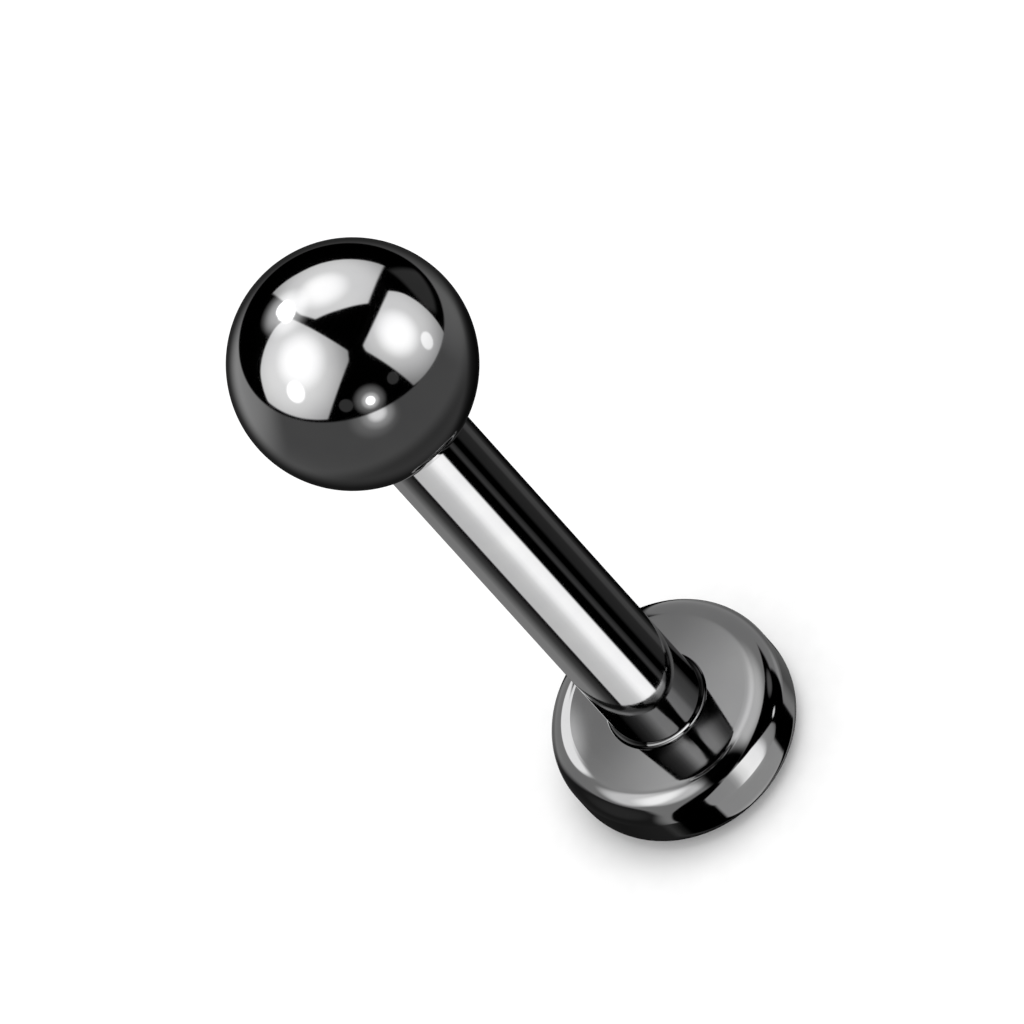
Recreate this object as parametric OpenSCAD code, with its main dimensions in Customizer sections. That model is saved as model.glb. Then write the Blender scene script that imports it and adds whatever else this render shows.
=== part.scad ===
// A labret stud. A thick disc and a straight bar are turned from one piece of titanium, and a polished ball
// screws onto the thread at the bar's end. The stud stands on its disc: Z runs up the bar, and the origin is
// the centre of the disc's back face. Sizes are in millimetres.

/* [Bar] */
// Diameter of the bar, 1.2 for a 16 gauge piercing
bar_d = 1.2; // [1:0.1:1.6]
// Length of bar that shows between the disc and the ball
bar_length = 8; // [5:0.5:12]
// Radius of the fillet where the bar meets the disc
foot_fillet = 0.06; // [0.02:0.01:0.1]

/* [Disc] */
// Diameter of the disc
disc_d = 3; // [2.5:0.1:4]
// Thickness of the disc in its middle
disc_thickness = 1.1; // [0.9:0.05:1.4]
// Radius of the disc's two rounded edges
disc_edge_radius = 0.36; // [0.1:0.02:0.38]
// How much the front face bulges from its rounded edge to its middle
face_crown = 0.05; // [0.02:0.01:0.1]

/* [Ball] */
// Diameter of the ball
ball_d = 3; // [3:0.1:5]
// How far the bar's plain end sinks into the ball's mouth
seat_depth = 0.12; // [0.06:0.02:0.2]
// Gap between the ball and what it slides over or seats on
fit_gap = 0.02; // [0.01:0.01:0.04]
// Full angle of the drill point at the socket's end
drill_angle = 118; // [90:2:140]

/* [Thread] */
// Distance from one turn of the thread to the next
thread_pitch = 0.2; // [0.15:0.01:0.22]
// Whole turns of the thread
thread_turns = 8; // [4:1:8]
// How far the crests lie inside the bar's surface
crest_drop = 0.04; // [0.03:0.01:0.1]
// Width of the bevel on the bar's shoulder, below the thread
shoulder_bevel = 0.03; // [0.01:0.01:0.05]
// Plain groove between the bar's shoulder and the thread
relief_length = 0.06; // [0.04:0.01:0.1]
// Height of the rounded tip past the thread
tip_height = 0.1; // [0.06:0.01:0.12]

/* [Hidden] */

$fn = 180;
// Flat sides round each turn of the thread
THREAD_SIDES = 32;
// One pitch of a 60 degree thread: [place along the pitch, share of the thread's depth]
THREAD_FORM = [[0, 0], [0.25, 0], [0.5625, 1], [0.6875, 1]];
// Depth of such a thread as a share of its pitch
THREAD_DEPTH_SHARE = 0.613;
// How far joined solids run into each other
OVERLAP = 0.01;

bar_r = bar_d / 2;
disc_r = disc_d / 2;
ball_r = ball_d / 2;

crest_r = bar_r - crest_drop;
root_r = crest_r - THREAD_DEPTH_SHARE * thread_pitch;
// The plain core inside the thread, clear of the flat sides of its root
core_r = root_r - 2 * OVERLAP;
tip_r = (root_r + crest_r) / 2;
mouth_r = bar_r + fit_gap;
socket_r = crest_r + fit_gap;

// The back face is flat out to edge_r, where both round edges have their centres. The front face is a slice
// of a large ball, and touches the upper round edge at crown_end_r without a corner.
edge_r = disc_r - disc_edge_radius;
crown_edge_z = disc_thickness - disc_edge_radius - face_crown;
crown_r = disc_edge_radius + (pow(edge_r, 2) + pow(face_crown, 2)) / (2 * face_crown);
crown_z = disc_thickness - crown_r;
crown_end_r = edge_r * crown_r / (crown_r - disc_edge_radius);

// Heights above the disc's back face, from the bottom up. The ball's surface meets its mouth where the
// bar's visible length ends.
mouth_z = disc_thickness + bar_length;
shoulder_z = mouth_z + seat_depth;
thread_z = shoulder_z + relief_length;
thread_length = (thread_turns + 1) * thread_pitch + 2 * OVERLAP;
tip_z = thread_z + thread_length;
top_z = tip_z + tip_height;
ball_z = mouth_z + sqrt(pow(ball_r, 2) - pow(mouth_r, 2));
socket_end_z = top_z + fit_gap;
drill_point = socket_r / tan(drill_angle / 2);

// Half of a cut through the disc: its flat back, its side, its two round edges and its domed front
module disc_profile() {
    square([edge_r, disc_edge_radius]);
    translate([0, disc_edge_radius])
        square([disc_r, crown_edge_z - disc_edge_radius]);
    for (z = [disc_edge_radius, crown_edge_z])
        translate([edge_r, z])
            circle(disc_edge_radius);
    intersection() {
        translate([0, crown_z])
            circle(crown_r);
        translate([0, crown_edge_z])
            square([crown_end_r, disc_thickness - crown_edge_z]);
    }
}

// The hollow corner between the disc's face and the bar. Its round side touches the bar and the domed face,
// and its foot ends just inside the dome.
module fillet_profile() {
    reach = crown_r + foot_fillet;
    centre_r = bar_r + foot_fillet;
    rise = sqrt(pow(reach, 2) - pow(centre_r, 2));
    inside = (crown_r - OVERLAP) / reach;
    difference() {
        polygon([
            [bar_r - OVERLAP, crown_z + rise * inside],
            [centre_r * inside, crown_z + rise * inside],
            [centre_r, crown_z + rise],
            [bar_r - OVERLAP, crown_z + rise]
        ]);
        translate([centre_r, crown_z + rise])
            circle(foot_fillet);
    }
}

// The rounded tip: a slice off the top of a circle whose chord is the tip's width
module tip_profile() {
    dome_r = (pow(tip_r, 2) + pow(tip_height, 2)) / (2 * tip_height);
    intersection() {
        translate([0, top_z - dome_r])
            circle(dome_r);
        translate([0, tip_z])
            square([tip_r, tip_height]);
    }
}

// The bar, from inside the disc to its shoulder, with the bevel on the shoulder's edge
module bar_profile() {
    polygon([
        [0, disc_thickness - OVERLAP],
        [bar_r, disc_thickness - OVERLAP],
        [bar_r, shoulder_z - shoulder_bevel],
        [bar_r - shoulder_bevel, shoulder_z],
        [0, shoulder_z]
    ]);
}

// Everything on the post that is round, from the disc up. The core holds the thread and the tip.
module post_profile() {
    disc_profile();
    fillet_profile();
    bar_profile();
    translate([0, shoulder_z - OVERLAP])
        square([core_r, tip_z - shoulder_z + OVERLAP]);
    translate([0, tip_z - OVERLAP])
        square([tip_r, OVERLAP]);
    tip_profile();
}

// A rod with a screw thread on it and two flat ends. Its skin is a sheet of points that climbs one pitch in
// each turn, so the last column of a turn meets the first column one pitch further up.
module threaded_rod(length) {
    form = len(THREAD_FORM);
    rows = thread_turns * form;
    last = THREAD_SIDES - 1;

    function height(i, k) = OVERLAP
        + thread_pitch * (floor(k / form) + THREAD_FORM[k % form][0] + i / THREAD_SIDES);
    // The thread fades in over its first turn and out over its last
    function fade(z) = min(1, z / thread_pitch, (length - z) / thread_pitch);
    function radius(i, k) = root_r
        + (crest_r - root_r) * THREAD_FORM[k % form][1] * fade(height(i, k));
    function point(i, r, z) = [r * cos(360 * i / THREAD_SIDES), r * sin(360 * i / THREAD_SIDES), z];

    // Numbers of the points: the sheet by column and row, then the bottom ring, then the top ring
    function sheet(i, k) = k * THREAD_SIDES + i;
    function bottom(i) = (rows + 1) * THREAD_SIDES + i;
    function top(i) = bottom(i) + THREAD_SIDES;

    points = [
        for (k = [0:rows], i = [0:last]) point(i, radius(i, k), height(i, k)),
        for (z = [0, length], i = [0:last]) point(i, root_r, z)
    ];
    skin = [
        for (i = [0:last - 1], k = [0:rows - 1])
            each [[sheet(i, k), sheet(i, k + 1), sheet(i + 1, k + 1)],
                  [sheet(i, k), sheet(i + 1, k + 1), sheet(i + 1, k)]],
        for (k = [0:rows - form - 1])
            each [[sheet(last, k), sheet(last, k + 1), sheet(0, k + form + 1)],
                  [sheet(last, k), sheet(0, k + form + 1), sheet(0, k + form)]]
    ];
    lower_end = [
        for (i = [0:last - 1])
            each [[bottom(i), sheet(i, 0), sheet(i + 1, 0)],
                  [bottom(i), sheet(i + 1, 0), bottom(i + 1)]],
        [bottom(last), sheet(last, 0), bottom(0)],
        [sheet(last, 0), sheet(0, 0), bottom(0)],
        for (k = [0:form - 1]) [sheet(last, 0), sheet(0, k + 1), sheet(0, k)],
        [for (i = [0:last]) bottom(i)]
    ];
    upper_end = [
        for (i = [0:last - 1])
            each [[sheet(i, rows), top(i), top(i + 1)],
                  [sheet(i, rows), top(i + 1), sheet(i + 1, rows)]],
        for (k = [rows - form:rows - 1]) [sheet(last, k), sheet(last, k + 1), sheet(0, rows)],
        [sheet(last, rows), top(last), sheet(0, rows)],
        [top(last), top(0), sheet(0, rows)],
        [for (i = [0:last]) top(last - i)]
    ];
    polyhedron(concat(points), concat(skin, lower_end, upper_end));
}

// The disc, the bar and the thread, which are one piece of metal
module labret_post() {
    color([0.16, 0.16, 0.17])
        union() {
            rotate_extrude()
                post_profile();
            translate([0, 0, thread_z])
                threaded_rod(thread_length);
        }
}

// What is cut out of the ball: a shallow seat for the bar's end, then a blind hole for the thread
module socket_profile() {
    square([mouth_r, shoulder_z + fit_gap]);
    square([socket_r, socket_end_z]);
    polygon([[0, socket_end_z], [socket_r, socket_end_z], [0, socket_end_z + drill_point]]);
}

module ball() {
    color([0.16, 0.16, 0.17])
        difference() {
            translate([0, 0, ball_z])
                sphere(ball_r);
            rotate_extrude()
                socket_profile();
        }
}

labret_post();
ball();
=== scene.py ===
# %% [markdown]
# # A labret stud in black titanium
# The stud is a thick round disc with a bar on it, turned from one piece of titanium, and a polished ball
# that screws onto the end of the bar. All of it but the thread is coated black and polished like a mirror,
# so most of what an eye sees is the studio round it. The lesson has two halves: first the four pieces,
# modelled accurately enough for mirror finishes, then the finishes, the studio and the camera.

# %% Load the frame
import math

import bmesh
import bpy
from mathutils import Matrix, Vector


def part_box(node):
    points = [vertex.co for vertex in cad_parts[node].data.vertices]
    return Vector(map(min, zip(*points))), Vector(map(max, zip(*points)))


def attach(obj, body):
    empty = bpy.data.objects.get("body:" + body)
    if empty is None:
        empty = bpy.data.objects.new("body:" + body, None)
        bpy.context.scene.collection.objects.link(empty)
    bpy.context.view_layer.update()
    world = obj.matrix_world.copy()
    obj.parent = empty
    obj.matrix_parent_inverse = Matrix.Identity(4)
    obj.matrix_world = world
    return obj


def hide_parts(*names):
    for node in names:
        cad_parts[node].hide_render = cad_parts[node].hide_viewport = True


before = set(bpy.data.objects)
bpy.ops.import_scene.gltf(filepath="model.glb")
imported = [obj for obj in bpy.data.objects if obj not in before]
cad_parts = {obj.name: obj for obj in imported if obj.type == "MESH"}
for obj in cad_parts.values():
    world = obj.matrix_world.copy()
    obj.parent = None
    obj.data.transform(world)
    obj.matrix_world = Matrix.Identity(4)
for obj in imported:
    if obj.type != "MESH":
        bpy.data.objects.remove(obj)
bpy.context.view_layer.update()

# %% [markdown]
# ## Sizes
# A few driving sizes give all the others, as they did when the stud was drawn. They are in metres, and MM
# lets them be written in millimetres. The bar is 1.2 mm thick, which is the common 16 gauge, and shows 8 mm
# between the disc and the ball. The heights of the ball and of the thread's end come from the frame.

# %% Driving sizes
MM = 0.001

disc_radius = 1.5 * MM
disc_height = 1.1 * MM
rim_radius = 0.36 * MM
face_crown = 0.05 * MM
bar_radius = 0.6 * MM
foot_fillet = 0.06 * MM
ball_radius = 1.5 * MM
fit_gap = 0.02 * MM

thread_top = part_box("labret_post")[1].z
ball_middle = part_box("ball")[1].z - ball_radius
mouth_radius = bar_radius + fit_gap
mouth_height = ball_middle - math.sqrt(ball_radius ** 2 - mouth_radius ** 2)
print(f"mouth {mouth_height / MM:.3f} mm up, ball's middle {ball_middle / MM:.3f} mm up")

# %% [markdown]
# ## Working with operators in a script
# Blender's modelling tools act on what is selected, just as they do by hand. So each step here selects the
# faces, edges or points that it needs by their place, and then calls the tool. Nothing else may be
# selected, and the loaded frame is, so everything is deselected before the first piece, and again after
# each one. Bisect also takes points near its cut as lying on it, within 0.1 mm if it isn't told otherwise.
# That is far too much for a stud of this size, so its cuts here get a tolerance of their own.

# %% Selecting by place
CUT_TOLERANCE = 1e-9


def radius_of(point):
    """How far a point is from the stud's axis."""
    return math.hypot(point.x, point.y)


def level_with(a, b):
    """True if two heights or radii are the same, within a hundredth of a micrometre."""
    return abs(a - b) < 1e-8


def pick(kind, wanted):
    """In edit mode, selects only the edges or faces all of whose points pass a test."""
    bpy.ops.mesh.select_mode(type=kind)
    bpy.ops.mesh.select_all(action="DESELECT")
    mesh = bmesh.from_edit_mesh(bpy.context.object.data)
    for element in mesh.edges if kind == "EDGE" else mesh.faces:
        element.select_set(all(wanted(point.co) for point in element.verts))
    bmesh.update_edit_mesh(bpy.context.object.data)


def start_piece(name):
    """Names the primitive that was just added, puts its place in its mesh and opens it for editing."""
    piece = bpy.context.object
    piece.name = piece.data.name = name
    bpy.ops.object.transform_apply(location=True, rotation=True, scale=True)
    bpy.ops.object.mode_set(mode="EDIT")
    return piece


def finish_piece(piece, smooth_angle):
    """Turns the faces outwards, closes edit mode and shades smooth what meets at less than the angle."""
    bpy.ops.mesh.select_all(action="SELECT")
    bpy.ops.mesh.normals_make_consistent(inside=False)
    bpy.ops.object.mode_set(mode="OBJECT")
    bpy.ops.object.shade_smooth_by_angle(angle=math.radians(smooth_angle))
    weights = piece.modifiers.new("large faces lead", "WEIGHTED_NORMAL")
    weights.mode = "FACE_AREA"
    weights.keep_sharp = True
    bpy.ops.object.modifier_apply(modifier=weights.name)
    bpy.ops.object.select_all(action="DESELECT")
    size = [round(length / MM, 3) for length in piece.dimensions]
    print(piece.name, size, "mm,", len(piece.data.polygons), "faces")


bpy.ops.object.select_all(action="DESELECT")
print(len(bpy.context.selected_objects), "objects selected")

# %% [markdown]
# ## The disc
# On the real stud the disc is turned on a lathe together with the bar. For mirror finishes it pays to model
# them as two pieces that meet in a clean circle: the disc is a thick coin whose two edges are rounded, so
# that they don't cut the gum, and a head on the bar's end closes it from above. The coin starts as a
# cylinder, because bevel gives exact round edges. Its upper face becomes a shallow seat for the head.

# %% Heights on the bulging face
around = 256
edge_radius = disc_radius - rim_radius
rim_top = disc_height - face_crown
crown_sphere = rim_radius + (edge_radius ** 2 + face_crown ** 2) / (2 * face_crown)


def face_height(radius):
    """The height of the disc's front face at a distance from its middle: a slice of a large sphere."""
    return disc_height - crown_sphere + math.sqrt(crown_sphere ** 2 - radius ** 2)


face_rise = face_height(0) - face_height(edge_radius)
print(f"the face rises {face_rise / MM:.3f} mm, as part of a sphere of radius {crown_sphere / MM:.1f} mm")

# %% The coin with its round edges
bpy.ops.mesh.primitive_cylinder_add(
    vertices=around, radius=disc_radius, depth=rim_top, location=(0, 0, rim_top / 2))
disc = start_piece("disc")
for height in (0, rim_top):
    pick("EDGE", lambda point: level_with(point.z, height))
    bpy.ops.mesh.bevel(offset=rim_radius, segments=24, affect="EDGES")

# %% The seat for the head
seat_height = 0.2 * MM
pick("FACE", lambda point: level_with(point.z, rim_top))
bpy.ops.transform.translate(value=(0, 0, face_height(edge_radius) - rim_top))
bpy.ops.mesh.extrude_region_move(TRANSFORM_OT_translate={"value": (0, 0, -seat_height)})
finish_piece(disc, smooth_angle=40)

# %% [markdown]
# ## The bar
# The bar is a nail: a flat head, whose face bulges very slightly, and a long straight rod. Inset gives the
# face one ring after another, and each ring is moved to its height on the bulge. In a mirror finish every
# flat step would show, so the rings are many and fine. The face that is left in the middle is drawn up into
# the rod. A bevel rounds the hollow corner at its foot, and another one breaks the edge of its shoulder,
# which sits in the ball's mouth. The rod gets a ring close to each end, so that the shading of its ends
# can't spread along it.

# %% The head with its bulging face
face_rings = 12
head_sunk = 0.05 * MM
head_height = seat_height + head_sunk
head_top = face_height(edge_radius)
head_taper = 0.95
bpy.ops.mesh.primitive_cone_add(
    vertices=around, radius1=head_taper * edge_radius, radius2=edge_radius, depth=head_height,
    location=(0, 0, head_top - head_height / 2))
bar = start_piece("bar")
pick("FACE", lambda point: level_with(point.z, head_top))
step = (edge_radius - bar_radius) / face_rings
for ring in range(face_rings):
    outer = edge_radius - ring * step
    bpy.ops.mesh.inset(thickness=step)
    bpy.ops.transform.translate(value=(0, 0, face_height(outer - step) - face_height(outer)))

# %% The rod with its foot and shoulder
seat_depth = 0.12 * MM
shoulder_bevel = 0.03 * MM
shoulder_height = mouth_height + seat_depth
foot_height = face_height(bar_radius)
foot_reach = 1.001 * bar_radius
bpy.ops.mesh.extrude_region_move(TRANSFORM_OT_translate={"value": (0, 0, shoulder_height - foot_height)})
pick("EDGE", lambda point: level_with(point.z, foot_height) and radius_of(point) < foot_reach)
bpy.ops.mesh.bevel(offset=foot_fillet, segments=10, affect="EDGES")
pick("EDGE", lambda point: level_with(point.z, shoulder_height))
bpy.ops.mesh.bevel(offset=shoulder_bevel, segments=4, affect="EDGES")
for height in (foot_height + 2 * foot_fillet, shoulder_height - 3 * shoulder_bevel):
    bpy.ops.mesh.select_all(action="SELECT")
    bpy.ops.mesh.bisect(plane_co=(0, 0, height), plane_no=(0, 0, 1), threshold=CUT_TOLERANCE)
finish_piece(bar, smooth_angle=40)

# %% [markdown]
# ## The thread
# The real thread is cut with a die: a plain pin, and a groove that runs round it like a spiral stair. So
# the pin is a cylinder with a bevelled tip, the groove is a small wedge that the Screw modifier winds round
# it, and Boolean takes the wedge out. Its depth is that of a 60 degree thread, 0.613 of the pitch, and it
# stands out of the pin a little, so that the cut is clean. The groove runs off both ends of the pin, as a
# real one does.

# %% The plain pin
crest_drop = 0.04 * MM
crest_radius = bar_radius - crest_drop
tip_height = 0.1 * MM
pin_sunk = 0.05 * MM
pin_base = shoulder_height - pin_sunk
pin_length = thread_top - pin_base
bpy.ops.mesh.primitive_cylinder_add(
    vertices=96, radius=crest_radius, depth=pin_length, location=(0, 0, pin_base + pin_length / 2))
thread = start_piece("thread")
pick("EDGE", lambda point: level_with(point.z, thread_top))
bpy.ops.mesh.bevel(offset=tip_height, segments=6, affect="EDGES")
bpy.ops.object.mode_set(mode="OBJECT")
print("pin from", round(pin_base / MM, 3), "to", round(thread_top / MM, 3), "mm")

# %% The wedge that cuts the groove
thread_pitch = 0.2 * MM
thread_depth = 0.613 * thread_pitch
root_radius = crest_radius - thread_depth
stand_out = 0.01 * MM
wedge_radius = crest_radius + stand_out
half_at_crest = 0.45 * thread_pitch
half_at_root = 0.06 * thread_pitch
half_at_wedge = half_at_crest * (wedge_radius - root_radius) / thread_depth
bpy.ops.mesh.primitive_plane_add(size=1, location=(0, 0, 0), rotation=(math.pi / 2, 0, 0))
wedge = start_piece("wedge")
mesh = bmesh.from_edit_mesh(wedge.data)
for point in mesh.verts:
    radius, half = (wedge_radius, half_at_wedge) if point.co.x > 0 else (root_radius, half_at_root)
    point.co = (radius, 0, shoulder_height + math.copysign(half, point.co.z))
bmesh.update_edit_mesh(wedge.data)
bpy.ops.object.mode_set(mode="OBJECT")
print("wedge from radius", round(root_radius / MM, 3), "to", round(wedge_radius / MM, 3), "mm")

# %% Wind it round the pin
winding = wedge.modifiers.new("winding", "SCREW")
winding.angle = 2 * math.pi
winding.screw_offset = thread_pitch
winding.iterations = math.ceil((thread_top + thread_pitch - shoulder_height) / thread_pitch)
winding.steps = winding.render_steps = 64
winding.use_normal_calculate = True
print("the groove makes", winding.iterations, "turns")
bpy.ops.object.modifier_apply(modifier=winding.name)
bpy.ops.object.mode_set(mode="EDIT")
bpy.ops.mesh.select_all(action="SELECT")
bpy.ops.mesh.remove_doubles(threshold=1e-8)
bpy.ops.mesh.fill_holes(sides=4)
bpy.ops.mesh.normals_make_consistent(inside=False)
bpy.ops.object.mode_set(mode="OBJECT")
bpy.ops.object.select_all(action="DESELECT")

# %% Take it out of the pin
bpy.context.view_layer.objects.active = thread
thread.select_set(True)
cut = thread.modifiers.new("cut", "BOOLEAN")
cut.operation = "DIFFERENCE"
cut.solver = "EXACT"
cut.object = wedge
bpy.ops.object.modifier_apply(modifier=cut.name)
bpy.data.objects.remove(wedge)
bpy.ops.object.mode_set(mode="EDIT")
finish_piece(thread, smooth_angle=35)

# %% [markdown]
# ## The ball
# The ball is a perfect sphere with a hole in its underside. A sphere primitive gives the outside. Its
# bottom is cut off level with the mouth, and from that open edge the inside is drawn up: a shallow seat for
# the end of the bar, a step in, the bore for the thread, and the cone that the drill left at the end. The
# cone's last ring is tiny, and is merged to a point.

# %% Sphere and mouth
socket_radius = crest_radius + fit_gap
socket_end = thread_top + fit_gap
drill_angle = math.radians(118)
drill_point = socket_radius / math.tan(drill_angle / 2)
last_ring = 0.001 * socket_radius
bpy.ops.mesh.primitive_uv_sphere_add(
    segments=around, ring_count=144, radius=ball_radius, location=(0, 0, ball_middle))
ball = start_piece("polished_ball")
bpy.ops.mesh.select_all(action="SELECT")
bpy.ops.mesh.bisect(
    plane_co=(0, 0, mouth_height), plane_no=(0, 0, 1), clear_inner=True, threshold=CUT_TOLERANCE)


# %% The socket
def draw_up(rise, radius, old_radius, height):
    """Extrudes the selected open edge straight up, then scales the new edge to its radius."""
    bpy.ops.mesh.extrude_edges_move(TRANSFORM_OT_translate={"value": (0, 0, rise)})
    share = radius / old_radius
    bpy.ops.transform.resize(value=(share, share, 1), center_override=(0, 0, height + rise))


pick("EDGE", lambda point: level_with(point.z, mouth_height))
seat_top = shoulder_height + fit_gap
draw_up(seat_top - mouth_height, mouth_radius, mouth_radius, mouth_height)
draw_up(0, socket_radius, mouth_radius, seat_top)
draw_up(socket_end - seat_top, socket_radius, socket_radius, seat_top)
draw_up(drill_point, last_ring, socket_radius, socket_end)
bpy.ops.mesh.merge(type="CENTER")
finish_piece(ball, smooth_angle=40)

# %% [markdown]
# ## Finishes
# Black titanium jewellery gets its colour from a hard coating a few thousandths of a millimetre thick. It
# is still a metal, so the shader is fully metallic with a dark grey base, and nearly everything in it is a
# reflection. A perfect mirror looks false close up. So the coat's grey drifts a little from place to place,
# and the polish follows the lathe: very fine rings, which run round the axis, change how sharp the mirror
# is. Slight wear does the same in soft patches.

# %% Nodes for finishes
def add_node(tree, kind, **inputs):
    """Adds a shader node and fills its inputs by name."""
    node = tree.nodes.new(kind)
    for name, value in inputs.items():
        node.inputs[name].default_value = value
    return node


def new_metal(name, tint):
    """A fully metallic material."""
    material = bpy.data.materials.new(name)
    material.use_nodes = True
    material.diffuse_color = (*tint, 1)
    material.node_tree.nodes["Principled BSDF"].inputs["Metallic"].default_value = 1
    return material


def lathe_place(tree):
    """Object coordinates, and a place made of radius and height, along which lathe rings change."""
    place = tree.nodes.new("ShaderNodeTexCoord")
    parts = tree.nodes.new("ShaderNodeSeparateXYZ")
    tree.links.new(place.outputs["Object"], parts.inputs["Vector"])
    across = tree.nodes.new("ShaderNodeCombineXYZ")
    tree.links.new(parts.outputs["X"], across.inputs["X"])
    tree.links.new(parts.outputs["Y"], across.inputs["Y"])
    reach = tree.nodes.new("ShaderNodeVectorMath")
    reach.operation = "LENGTH"
    tree.links.new(across.outputs["Vector"], reach.inputs[0])
    rings = tree.nodes.new("ShaderNodeCombineXYZ")
    tree.links.new(reach.outputs["Value"], rings.inputs["X"])
    tree.links.new(parts.outputs["Z"], rings.inputs["Z"])
    return place.outputs["Object"], rings.outputs["Vector"]


def vary(tree, vector, feature, low, high):
    """Noise with features of a size in metres, spread from its usual 0.3 to 0.7 to between two numbers."""
    noise = add_node(tree, "ShaderNodeTexNoise", Scale=1 / feature, Detail=2)
    tree.links.new(vector, noise.inputs["Vector"])
    spread = tree.nodes.new("ShaderNodeMapRange")
    spread.inputs["From Min"].default_value = 0.3
    spread.inputs["From Max"].default_value = 0.7
    spread.inputs["To Min"].default_value = low
    spread.inputs["To Max"].default_value = high
    tree.links.new(noise.outputs["Fac"], spread.inputs["Value"])
    return spread.outputs["Result"]


def tint_between(tree, share, first, second):
    """A colour between two tints."""
    ramp = tree.nodes.new("ShaderNodeValToRGB")
    ramp.color_ramp.elements[0].color = (*first, 1)
    ramp.color_ramp.elements[1].color = (*second, 1)
    tree.links.new(share, ramp.inputs["Fac"])
    return ramp.outputs["Color"]


# %% Black coated titanium
coat_grey = 0.17
black_titanium = new_metal("black_titanium", (coat_grey, coat_grey, coat_grey))
tree = black_titanium.node_tree
shader = tree.nodes["Principled BSDF"]
place, rings = lathe_place(tree)
coat = tint_between(
    tree, vary(tree, place, 0.6 * MM, 0, 1), (0.164, 0.164, 0.166), (0.176, 0.176, 0.176))
tree.links.new(coat, shader.inputs["Base Color"])
wear = vary(tree, place, 0.25 * MM, 0.045, 0.065)
lines = vary(tree, rings, 0.03 * MM, -0.012, 0.012)
total = tree.nodes.new("ShaderNodeMath")
tree.links.new(wear, total.inputs[0])
tree.links.new(lines, total.inputs[1])
tree.links.new(total.outputs[0], shader.inputs["Roughness"])
print(black_titanium.name, len(tree.nodes), "nodes")

# %% Bare machined titanium
bare_titanium = new_metal("bare_titanium", (0.55, 0.54, 0.52))
tree = bare_titanium.node_tree
shader = tree.nodes["Principled BSDF"]
place, rings = lathe_place(tree)
tint = tint_between(tree, vary(tree, place, 0.15 * MM, 0, 1), (0.5, 0.49, 0.47), (0.6, 0.59, 0.57))
tree.links.new(tint, shader.inputs["Base Color"])
tree.links.new(vary(tree, rings, 0.025 * MM, 0.18, 0.34), shader.inputs["Roughness"])
marks = add_node(tree, "ShaderNodeBump", Strength=0.3, Distance=0.002 * MM)
tree.links.new(vary(tree, rings, 0.03 * MM, 0, 1), marks.inputs["Height"])
tree.links.new(marks.outputs["Normal"], shader.inputs["Normal"])
print(bare_titanium.name, len(tree.nodes), "nodes")

# %% Put the finishes on
for piece in (disc, bar, ball):
    piece.data.materials.clear()
    piece.data.materials.append(black_titanium)
thread.data.materials.clear()
thread.data.materials.append(bare_titanium)
print("coated:", disc.name, bar.name, ball.name, "bare:", thread.name)

# %% [markdown]
# ## Joining the frame
# Each piece rides on the body that it belongs to, so it goes along when the ball comes off. Disc, bar and
# thread are one piece of metal on the real stud and together stand for its one solid.

# %% Ride and replace
for piece in (disc, bar, thread):
    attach(piece, "post")
    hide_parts("labret_post")
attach(ball, "ball")
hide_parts("ball")
print("post carries", disc.name, bar.name, thread.name, "and ball carries", ball.name)

# %% [markdown]
# ## Floor and background
# The stud stands on white paper. The paper is matt, and no piece mirrors it, because the light rooms take
# its place there. A large soft lamp lights the paper alone, from above and a little to one side, and
# only the disc casts a shadow in it. That shadow shows where the stud stands. The world is plain white, and
# no mirror sees it.

# %% Floor
bpy.ops.mesh.primitive_plane_add(size=4, location=(0, 0, 0))
floor = bpy.context.object
floor.name = "floor"
bpy.ops.object.select_all(action="DESELECT")
paper = bpy.data.materials.new("white_paper")
paper.use_nodes = True
tree = paper.node_tree
shader = tree.nodes["Principled BSDF"]
shader.inputs["Roughness"].default_value = 0.9
shader.inputs["Specular IOR Level"].default_value = 0
place = tree.nodes.new("ShaderNodeTexCoord")
grain = vary(tree, place.outputs["Object"], 0.3 * MM, 0, 1)
white = tint_between(tree, grain, (0.74, 0.74, 0.74), (0.76, 0.76, 0.76))
tree.links.new(white, shader.inputs["Base Color"])
floor.data.materials.append(paper)
floor.visible_glossy = False
floor.visible_shadow = False
print("the floor is", round(floor.dimensions.x, 1), "m wide")

# %% A lamp for the floor
floor_lamp_distance = 3.0
lamp_direction = Vector((0.25, 0.08, 0.97))
lamp_data = bpy.data.lights.new("floor_lamp", "AREA")
lamp_data.shape = "DISK"
lamp_data.size = 2.4
lamp_data.energy = 50
floor_lamp = bpy.data.objects.new("floor_lamp", lamp_data)
bpy.context.scene.collection.objects.link(floor_lamp)
floor_lamp.location = lamp_direction * floor_lamp_distance
floor_lamp.rotation_euler = lamp_direction.to_track_quat("Z", "Y").to_euler()
floor_lamp.visible_camera = False
lit_floor = bpy.data.collections.new("lit by floor_lamp")
lit_floor.objects.link(floor)
floor_lamp.light_linking.receiver_collection = lit_floor
casts_shadow = bpy.data.collections.new("casts the floor's shadow")
casts_shadow.objects.link(disc)
floor_lamp.light_linking.blocker_collection = casts_shadow
print("the floor's lamp has", lamp_data.energy, "W")

# %% White surroundings
world = bpy.data.worlds.new("white surroundings")
bpy.context.scene.world = world
world.use_nodes = True
background = world.node_tree.nodes["Background"]
background.inputs["Color"].default_value = (1, 1, 1, 1)
background.inputs["Strength"].default_value = 1.05
world.cycles_visibility.glossy = False
bpy.context.scene.view_settings.view_transform = "Standard"

# %% [markdown]
# ## Camera
# A picture as flat as this one is taken from afar with a long lens. The camera looks down at the stud from
# 55 degrees and is rolled over, so that the bar runs slantwise through the picture. Where it aims, and how
# wide a strip it sees there, were fitted to the outline of ball, bar and disc.

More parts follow.
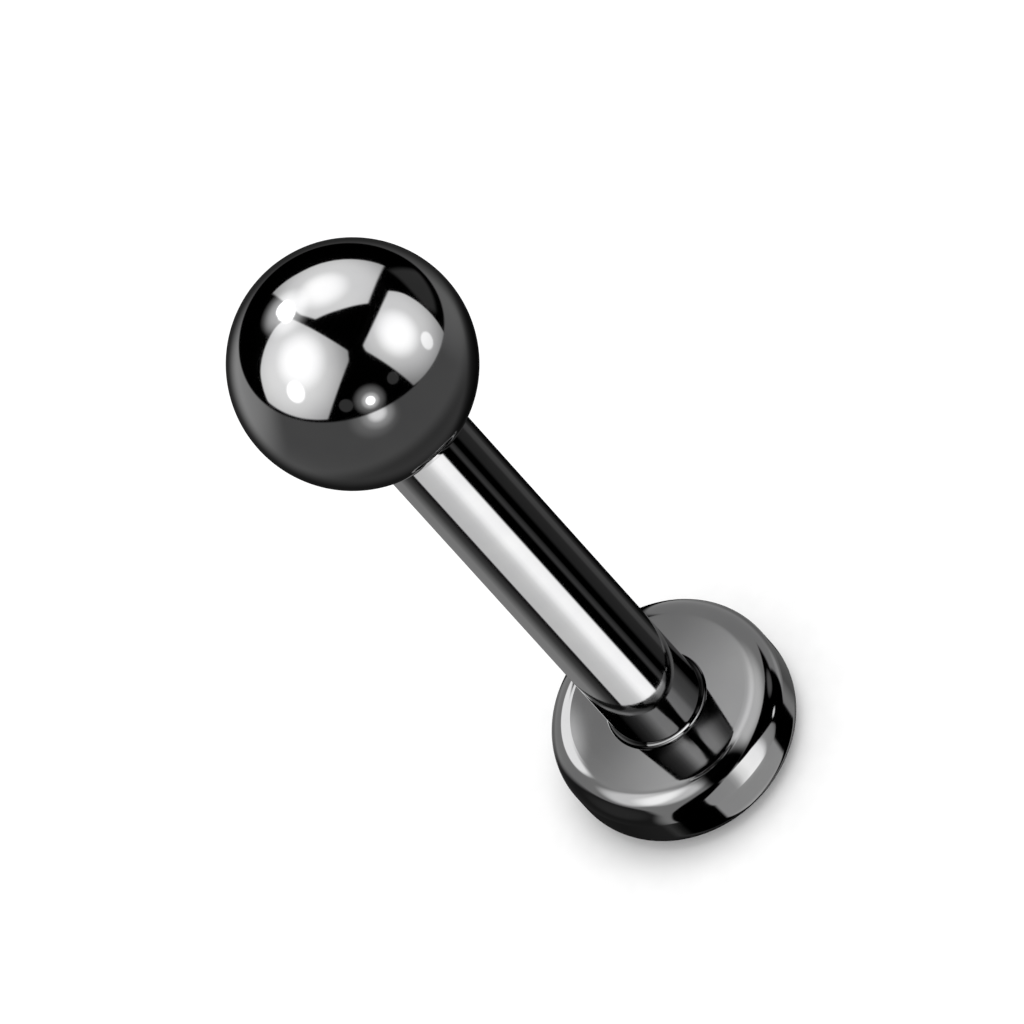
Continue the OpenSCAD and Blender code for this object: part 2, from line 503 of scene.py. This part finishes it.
# %% Camera
camera_elevation = math.radians(54.8)
camera_roll = math.radians(-42.03)
frame_width = 12.212 * MM
aim = Vector((0.229, 0, 6.029)) * MM
camera_data = bpy.data.cameras.new("camera")
camera_data.lens = 1100
camera_data.clip_start = 0.01
camera_data.clip_end = 10
camera = bpy.data.objects.new("camera", camera_data)
bpy.context.scene.collection.objects.link(camera)
bpy.context.scene.camera = camera
distance = frame_width * camera_data.lens / camera_data.sensor_width
turn = Matrix.Rotation(math.pi / 2 - camera_elevation, 4, "X") @ Matrix.Rotation(camera_roll, 4, "Z")
back = turn.to_3x3() @ Vector((0, 0, 1))
camera.matrix_world = Matrix.Translation(aim + back * distance) @ turn
print(f"the camera is {distance:.2f} m away")

# %% [markdown]
# ## The light rooms
# A product photographer lights mirrors piece by piece, and cuts the best views together. Light linking does
# the same: ball, bar and disc each stand in a light room of their own, six lamps as large as walls, which
# lights nothing else. The thread shares the bar's room. The lamps share one pattern, which gives the light
# for each direction. It is built like a collage: cards are laid over each other, and each covers those
# before it. A direction is written as a compass angle, from the far side towards +X, and a height above the
# horizon, both in degrees.

# %% Directions and greys
def direction(compass, height):
    """The direction with a compass angle and a height, in degrees."""
    across, up = math.radians(compass), math.radians(height)
    return Vector((math.sin(across) * math.cos(up), math.cos(across) * math.cos(up), math.sin(up)))


def seen(grey):
    """The light that looks this grey, from 0 to 255, when the coated metal mirrors it."""
    share = grey / 255
    linear = share / 12.92 if share <= 0.04045 else ((share + 0.055) / 1.055) ** 2.4
    return linear / coat_grey


print("a lamp as strong as", round(seen(255), 2), "looks white, and", round(seen(106), 2), "looks mid grey")


# %% Steps of a light pattern
def calculate(tree, operation, *values):
    """Adds a Math node. Each value is a number, or the output of another node."""
    node = tree.nodes.new("ShaderNodeMath")
    node.operation = operation
    for slot, value in enumerate(values):
        if isinstance(value, (int, float)):
            node.inputs[slot].default_value = value
        else:
            tree.links.new(value, node.inputs[slot])
    return node.outputs[0]


def smooth_rise(tree, value, low, high):
    """Rises smoothly from 0 to 1 as a value goes from low to high."""
    node = tree.nodes.new("ShaderNodeMapRange")
    node.interpolation_type = "SMOOTHSTEP"
    tree.links.new(value, node.inputs["Value"])
    node.inputs["From Min"].default_value = low
    node.inputs["From Max"].default_value = high
    return node.outputs["Result"]


def along(tree, way, axis):
    """How far a direction points along an axis."""
    node = tree.nodes.new("ShaderNodeVectorMath")
    node.operation = "DOT_PRODUCT"
    tree.links.new(way, node.inputs[0])
    node.inputs[1].default_value = axis
    return node.outputs["Value"]


def glow(tree, way, at, radius, halo):
    """1 within a radius of a direction, fading to 0 over a halo."""
    inner = math.cos(math.radians(radius))
    outer = math.cos(math.radians(radius + halo))
    return smooth_rise(tree, along(tree, way, direction(*at)), outer, inner)


def stripes(tree, way, stops):
    """Greys that change along the compass like the colours of a ramp, which takes at most 32 stops."""
    split = tree.nodes.new("ShaderNodeSeparateXYZ")
    tree.links.new(way, split.inputs[0])
    compass = calculate(tree, "ARCTAN2", split.outputs["X"], split.outputs["Y"])
    share = calculate(tree, "MULTIPLY_ADD", compass, 0.5 / math.pi, 0.5)
    ramp = tree.nodes.new("ShaderNodeValToRGB")
    tree.links.new(share, ramp.inputs["Fac"])
    elements = ramp.color_ramp.elements
    elements.remove(elements[1])
    white_light = seen(255)
    for number, (compass_angle, grey) in enumerate(stops):
        place = compass_angle / 360 + 0.5
        element = elements[0] if number == 0 else elements.new(place)
        element.position = place
        level = seen(grey) / white_light
        element.color = (level, level, level, 1)
    return calculate(tree, "MULTIPLY", ramp.outputs["Color"], white_light)


# %% [markdown]
# ### What a card says
# A card is a dictionary. Its place is given by `corners`, with straight sides between them, or by a circle
# with a `radius` `around` a direction, and a card without either fills the room. `soft` is how far its edge
# spreads, in degrees, or a list with one number for each side. Its light is one `grey`, or `stripes` along
# the compass. `glows` add round lights to it, each with a compass angle, a height, a radius, a halo and a
# grey. `shades` are the same with a share of the light that stays instead of the grey. A card with `add`
# adds its light to what is below it.

# %% Cards
def outline(tree, way, card):
    """1 inside a card and 0 outside, or None if it fills the room."""
    soft = card.get("soft", 1)
    if "around" in card:
        return glow(tree, way, card["around"], card["radius"] - soft, 2 * soft)
    if "corners" not in card:
        return None
    corners = [direction(*corner) for corner in card["corners"]]
    inside = sum(corners, Vector())
    softs = soft if isinstance(soft, list) else [soft] * len(corners)
    mask = None
    for this, following, degrees in zip(corners, corners[1:] + corners[:1], softs):
        side = this.cross(following).normalized()
        if side.dot(inside) < 0:
            side.negate()
        width = math.sin(math.radians(degrees))
        edge = smooth_rise(tree, along(tree, way, side), -width, width)
        mask = edge if mask is None else calculate(tree, "MULTIPLY", mask, edge)
    return mask


def card_light(tree, way, card):
    """The light of a card: its grey or its stripes, then its glows, then its shades."""
    if "stripes" in card:
        light = stripes(tree, way, card["stripes"])
    else:
        light = seen(card.get("grey", 0))
    for compass, height, radius, halo, grey in card.get("glows", []):
        light = calculate(
            tree, "MULTIPLY_ADD", glow(tree, way, (compass, height), radius, halo), seen(grey), light)
    for compass, height, radius, halo, keep in card.get("shades", []):
        share = calculate(
            tree, "MULTIPLY_ADD", glow(tree, way, (compass, height), radius, halo), keep - 1, 1)
        light = calculate(tree, "MULTIPLY", light, share)
    return light


def lay(tree, way, below, card):
    """Lays a card over the light below it, or adds its light."""
    light = card_light(tree, way, card)
    if card.get("add"):
        return calculate(tree, "ADD", below, light)
    mask = outline(tree, way, card)
    if mask is None:
        return light
    return calculate(tree, "MULTIPLY_ADD", mask, calculate(tree, "SUBTRACT", light, below), below)


# %% A room of six lamps
room_size = 2.0
power_per_area = math.pi  # in W/m2, so that a lamp with strength 1 is as bright as plain white


def light_room(name, centre, pieces, cards):
    """Six large lamps like the walls of a room, which light only the given pieces."""
    pattern = bpy.data.node_groups.new(name, "ShaderNodeTree")
    pattern.interface.new_socket("Light", in_out="OUTPUT", socket_type="NodeSocketFloat")
    place = pattern.nodes.new("ShaderNodeNewGeometry")
    offset = pattern.nodes.new("ShaderNodeVectorMath")
    offset.operation = "SUBTRACT"
    pattern.links.new(place.outputs["Position"], offset.inputs[0])
    offset.inputs[1].default_value = centre
    unit = pattern.nodes.new("ShaderNodeVectorMath")
    unit.operation = "NORMALIZE"
    pattern.links.new(offset.outputs[0], unit.inputs[0])
    way = unit.outputs[0]
    total = 0.0
    for card in cards:
        total = lay(pattern, way, total, card)
    out = pattern.nodes.new("NodeGroupOutput")
    pattern.links.new(total, out.inputs["Light"])
    lit = bpy.data.collections.new("lit by " + name)
    for piece in pieces:
        lit.objects.link(piece)
    walls = [(1, 0, 0), (-1, 0, 0), (0, 1, 0), (0, -1, 0), (0, 0, 1), (0, 0, -1)]
    for number, axis in enumerate(walls):
        data = bpy.data.lights.new(f"{name}_{number}", "AREA")
        data.size = room_size
        data.energy = power_per_area * room_size ** 2
        data.use_nodes = True
        tree = data.node_tree
        emission = tree.nodes["Emission"]
        group = tree.nodes.new("ShaderNodeGroup")
        group.node_tree = pattern
        tree.links.new(group.outputs["Light"], emission.inputs["Strength"])
        lamp = bpy.data.objects.new(data.name, data)
        bpy.context.scene.collection.objects.link(lamp)
        outward = Vector(axis)
        lamp.location = centre + outward * room_size / 2
        lamp.rotation_euler = outward.to_track_quat("Z", "Y").to_euler()
        lamp.visible_camera = False
        lamp.light_linking.receiver_collection = lit
    print(name, len(cards), "cards,", len(pattern.nodes), "nodes")


# %% The ball's room
ball_cards = [
    # upper window
    {"corners": [(-6, 11), (55, 1), (83, 44), (63, 64), (6, 71), (-8, 57), (-7, 29)],
     "grey": 120, "glows": [(28, 44, 2, 20, 160), (35, 45, 15, 42, 175)]},
    # what cuts its top
    {"corners": [(-8, 10), (-6, 11), (12, 13), (36, 7.7), (55, 1), (55, -5), (-8, -5)], "grey": 0},
    # left window
    {"corners": [(-17, 43), (-29, 38), (-41, 25), (-56, 18), (-71, 6), (-95, 11), (-127, 13), (-179, 59),
                 (168, 66), (-18, 62)],
     "grey": 140, "glows": [(-84, 58, 4, 24, 160), (-80, 48, 8, 50, 175), (-97, 33, 7, 3, 190)]},
    # right window
    {"corners": [(78, 21), (82, 10), (91, -3), (104, -21), (155, -3), (152, 52), (146, 56)],
     "grey": 110, "glows": [(120, 27, 4, 20, 170), (110, 30, 8, 50, 178), (118, -2, 5.5, 2, 165)]},
    # dark wall
    {"corners": [(60, 3), (58, -21), (78, -19), (92, -15), (92, -5), (79, 2)], "grey": 40, "soft": 3},
    # star between the windows
    {"glows": [(-11.5, 36, 5, 2, 255), (-13, 41, 6, 2, 255), (-15, 46, 5, 2, 255), (-14, 32, 0, 18, 110),
               (-14, 41, 0, 22, 145), (-14, 50, 0, 18, 100)], "add": True},
    # small light and two dots
    {"glows": [(-170, 18, 2.5, 2.5, 290), (-170, 18, 5, 4, 135), (-170, 19, 2, 14, 105),
               (-148, 24, 5.5, 1, 45), (161, 18, 5, 1, 45)], "add": True},
    # ground
    {"around": (-126, -71), "radius": 82.4, "grey": 66,
     "glows": [(-45, -3, 0, 45, 95), (85, -18, 5, 30, 50), (-168, 4, 1, 9, 170), (-168, 3, 2, 15, 110),
               (-164, 2, 0, 24, 72)],
     "shades": [(0, -55, 20, 32, 0.12), (60, -64, 4, 20, 0.3), (0, -90, 28, 20, 0.45)]},
]
light_room("ball_room", Vector((0, 0, ball_middle)), [ball], ball_cards)

# %% The bar's room
bar_cards = [
    # two windows in front
    {"around": (0, 90), "radius": 50,
     "stripes": [(-180, 0), (-177, 0), (-175, 235), (-150, 235), (-138, 185), (-128, 135), (-118, 92),
                 (-105, 62), (-90, 35), (-84, 0), (80, 0), (90, 80), (100, 115), (115, 130), (130, 150),
                 (140, 210), (160, 230), (163, 220), (166, 0), (180, 0)]},
    # round corners beside the gap
    {"corners": [(178, 49.5), (-178, 49.5), (-166, 43.5), (178, 43.5)], "grey": 0, "soft": 0.4},
    {"corners": [(170, 49.5), (167, 49.5), (157, 43.5), (170, 43.5)], "grey": 0, "soft": 0.4},
    # dark above them, and two more windows within it
    {"around": (0, 90), "radius": 36, "grey": 0},
    {"around": (-90, 89.5), "radius": 28.9, "soft": 0.4,
     "stripes": [(-180, 0), (-178.5, 235), (-155, 235), (-140, 185), (-128, 130), (-115, 92), (-100, 68),
                 (-80, 48), (-62, 25), (-55, 0), (44, 0), (50, 65), (75, 80), (95, 120), (115, 175),
                 (135, 218), (158, 230), (161, 0), (180, 0)]},
    # round corners beside their gap
    {"corners": [(145, 60), (160, 62.5), (168, 62.5), (168, 60)], "grey": 0, "soft": 0.5},
    {"corners": [(-160, 60), (-178, 62.5), (175, 62.5), (175, 60)], "grey": 0, "soft": 0.5},
    {"corners": [(145, 67), (160, 63.8), (168, 63.8), (168, 67)], "grey": 0, "soft": 0.5},
    {"corners": [(-150, 67), (-178, 63.8), (175, 63.8), (175, 67)], "grey": 0, "soft": 0.5},
    # dark at the top round a lamp
    {"around": (0, 90), "radius": 24.2, "grey": 0, "soft": 0.7},
    {"around": (0, 90), "radius": 8, "grey": 120, "soft": 4},
    # light behind the foot
    {"corners": [(22, 55), (52, 47), (50, 42), (22, 46)], "grey": 75},
    # sky behind
    {"corners": [(-20, 38), (20, 38), (26, 68), (0, 70), (-26, 68)], "grey": 106,
     "glows": [(25, 68, 2, 20, 115), (-30, 68, 2, 16, 80), (-20, 46, 4, 5, 200)]},
    # low half
    {"around": (0, -90), "radius": 115,
     "stripes": [(-180, 237), (-170, 237), (-161, 223), (-153, 199), (-143, 184), (-126, 174), (-110, 168),
                 (-108, 0), (-106, 8), (-102, 24), (-95, 39), (-88, 46), (-77, 69), (-62, 86), (-48, 78),
                 (-20, 60), (-1, 45), (0, 3), (38, 3), (52, 22), (61, 44), (74, 46), (81, 29), (105, 28),
                 (113, 0), (126, 0), (131, 38), (138, 50), (144, 0), (163, 0), (167, 232), (180, 237)]},
]
light_room("bar_room", Vector((0, 0, 5 * MM)), [bar, thread], bar_cards)

# %% The disc's room
disc_cards = [
    # the whole room
    {"grey": 106,
     "glows": [(25, 68, 2, 20, 115), (-30, 68, 2, 16, 80), (100, 66, 5, 34, 138), (-88, 54, 14, 12, 162),
               (-122, 57, 12, 14, 152), (-21, 38, 13, 4, 200), (78, -32, 0, 14, 60)],
     "shades": [(38, -45, 0, 34, 0.35), (-25, -35, 0, 30, 0.4)]},
    # gap by the bar
    {"corners": [(-9, 44), (-13, -57), (20, -57), (12, 20), (9, 44)], "grey": 0, "soft": [1, 2, 2, 1, 2]},
    # hole at the top
    {"corners": [(-90, 80), (0, 62), (90, 80), (180, 75)], "grey": 0, "soft": 2},
    # dark above the tall window
    {"corners": [(150, 40), (105, 79), (-120, 79), (-165, 33), (178, 27)], "grey": 0,
     "soft": [6, 2, 5, 2, 2]},
    # dark on the left of the wall
    {"corners": [(-117, -57), (-131, 0), (-140, 20), (-152, 32), (-175, 38), (-175, -57)], "grey": 0,
     "soft": [1, 1, 3, 3, 3, 1]},
    # dark wall
    {"corners": [(-108, -57), (-121, 0), (-112, 20), (-100, 27), (-80, 26), (-60, 18), (-48, 0), (-25, -30),
                 (-12, -57)],
     "grey": 22, "soft": [6, 4, 3, 3, 3, 8, 8, 8, 2], "glows": [(-90, 0, 5, 25, 26)]},
    # dark on the right
    {"corners": [(87, -57), (86, 5), (95, 33), (112, 38), (165, 42), (165, -57)], "grey": 0, "soft": 2},
    {"corners": [(64, 12), (80, 22), (97, 34), (100, 5), (86, 0)], "grey": 0, "soft": [2, 2, 2, 2, 4]},
    # tall window by the camera
    {"corners": [(-157, -62), (-157, 3), (-167, 15), (178, 27), (165, 28), (150, 22), (138, 8), (125, -12),
                 (120, -35), (120, -62)],
     "stripes": [(-180, 130), (-157, 125), (-156, 0), (118, 0), (121, 80), (126, 115), (138, 130),
                 (145, 215), (150, 228), (162, 228), (170, 205), (176, 150), (180, 130)]},
    # ground
    {"around": (0, -90), "radius": 38.5, "soft": 3,
     "stripes": [(-180, 125), (-157, 125), (-155, 0), (-120, 0), (-114, 20), (-107, 40), (-100, 24),
                 (-60, 14), (-20, 10), (-10, 0), (10, 0), (20, 45), (60, 50), (76, 88), (84, 91), (86, 0),
                 (120, 0), (124, 125), (180, 125)]},
    # a spot and a finger of light
    {"glows": [(117, -12, 2, 3, 200), (97, 12, 3, 9, 70)], "add": True},
]
light_room("disc_room", Vector((0, 0, 1 * MM)), [disc], disc_cards)
